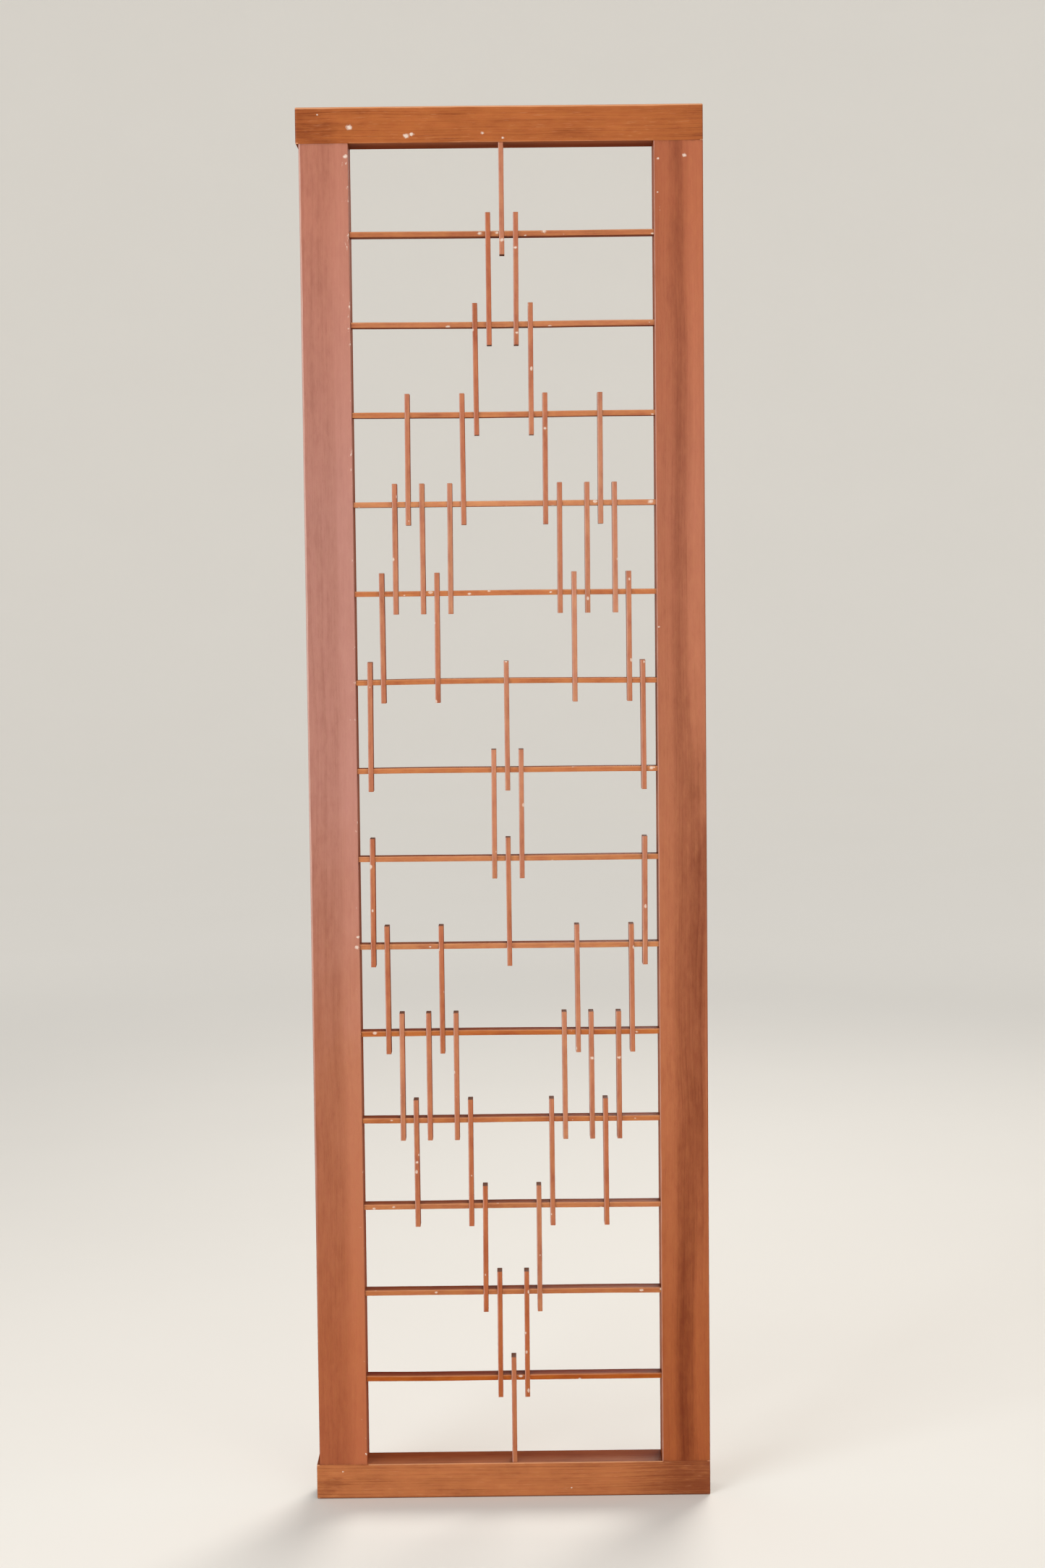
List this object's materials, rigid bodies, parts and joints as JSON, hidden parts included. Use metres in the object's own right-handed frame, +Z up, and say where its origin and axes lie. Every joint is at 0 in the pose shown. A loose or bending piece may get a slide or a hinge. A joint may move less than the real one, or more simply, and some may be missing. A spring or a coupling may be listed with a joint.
{
  "type": "kumiko lattice transom panel",
  "caption": "Tall narrow wooden frame with thin cross bars and short upright strips half-lapped in a mirrored diamond pattern.",
  "frame": {"origin": "middle of the foot, on the underside of the bottom rail", "axes": "+Z up along the stiles, +X to the right seen from the front, and the front faces -Y"},
  "size_m": [0.272, 0.026, 0.948],
  "materials": {
    "rail_wood": "stained straight-grained softwood, satin",
    "stile_wood": "stained straight-grained softwood, duller and browner",
    "bar_wood": "stained softwood, bright orange, satin",
    "strip_wood": "stained softwood, dull pinkish brown"
  },
  "bodies": {
    "root": {"top_rail": "rail_wood", "bottom_rail": "rail_wood", "left_stile": "stile_wood", "right_stile": "stile_wood", "bar_01": "bar_wood", "bar_02": "bar_wood", "bar_03": "bar_wood", "bar_04": "bar_wood", "bar_05": "bar_wood", "bar_06": "bar_wood", "bar_07": "bar_wood", "bar_08": "bar_wood", "bar_09": "bar_wood", "bar_10": "bar_wood", "bar_11": "bar_wood", "bar_12": "bar_wood", "bar_13": "bar_wood", "bar_14": "bar_wood", "strip_01_middle": "strip_wood", "strip_02_left_1": "strip_wood", "strip_02_right_1": "strip_wood", "strip_03_left_2": "strip_wood", "strip_03_right_2": "strip_wood", "strip_04_left_3": "strip_wood", "strip_04_right_3": "strip_wood", "strip_04_left_7": "strip_wood", "strip_04_right_7": "strip_wood", "strips_05_pair_4": "strip_wood", "strips_05_pair_6": "strip_wood", "strips_05_pair_8": "strip_wood", "strip_06_left_5": "strip_wood", "strip_06_right_5": "strip_wood", "strip_06_left_9": "strip_wood", "strip_06_right_9": "strip_wood", "strip_07_middle": "strip_wood", "strip_07_left_10": "strip_wood", "strip_07_right_10": "strip_wood", "strip_08_left_1": "strip_wood", "strip_08_right_1": "strip_wood", "strip_09_middle": "strip_wood", "strip_09_left_10": "strip_wood", "strip_09_right_10": "strip_wood", "strip_10_left_5": "strip_wood", "strip_10_right_5": "strip_wood", "strip_10_left_9": "strip_wood", "strip_10_right_9": "strip_wood", "strips_11_pair_4": "strip_wood", "strips_11_pair_6": "strip_wood", "strips_11_pair_8": "strip_wood", "strip_12_left_3": "strip_wood", "strip_12_right_3": "strip_wood", "strip_12_left_7": "strip_wood", "strip_12_right_7": "strip_wood", "strip_13_left_2": "strip_wood", "strip_13_right_2": "strip_wood", "strip_14_left_1": "strip_wood", "strip_14_right_1": "strip_wood", "strip_15_middle": "strip_wood"}
  },
  "joints": []
}
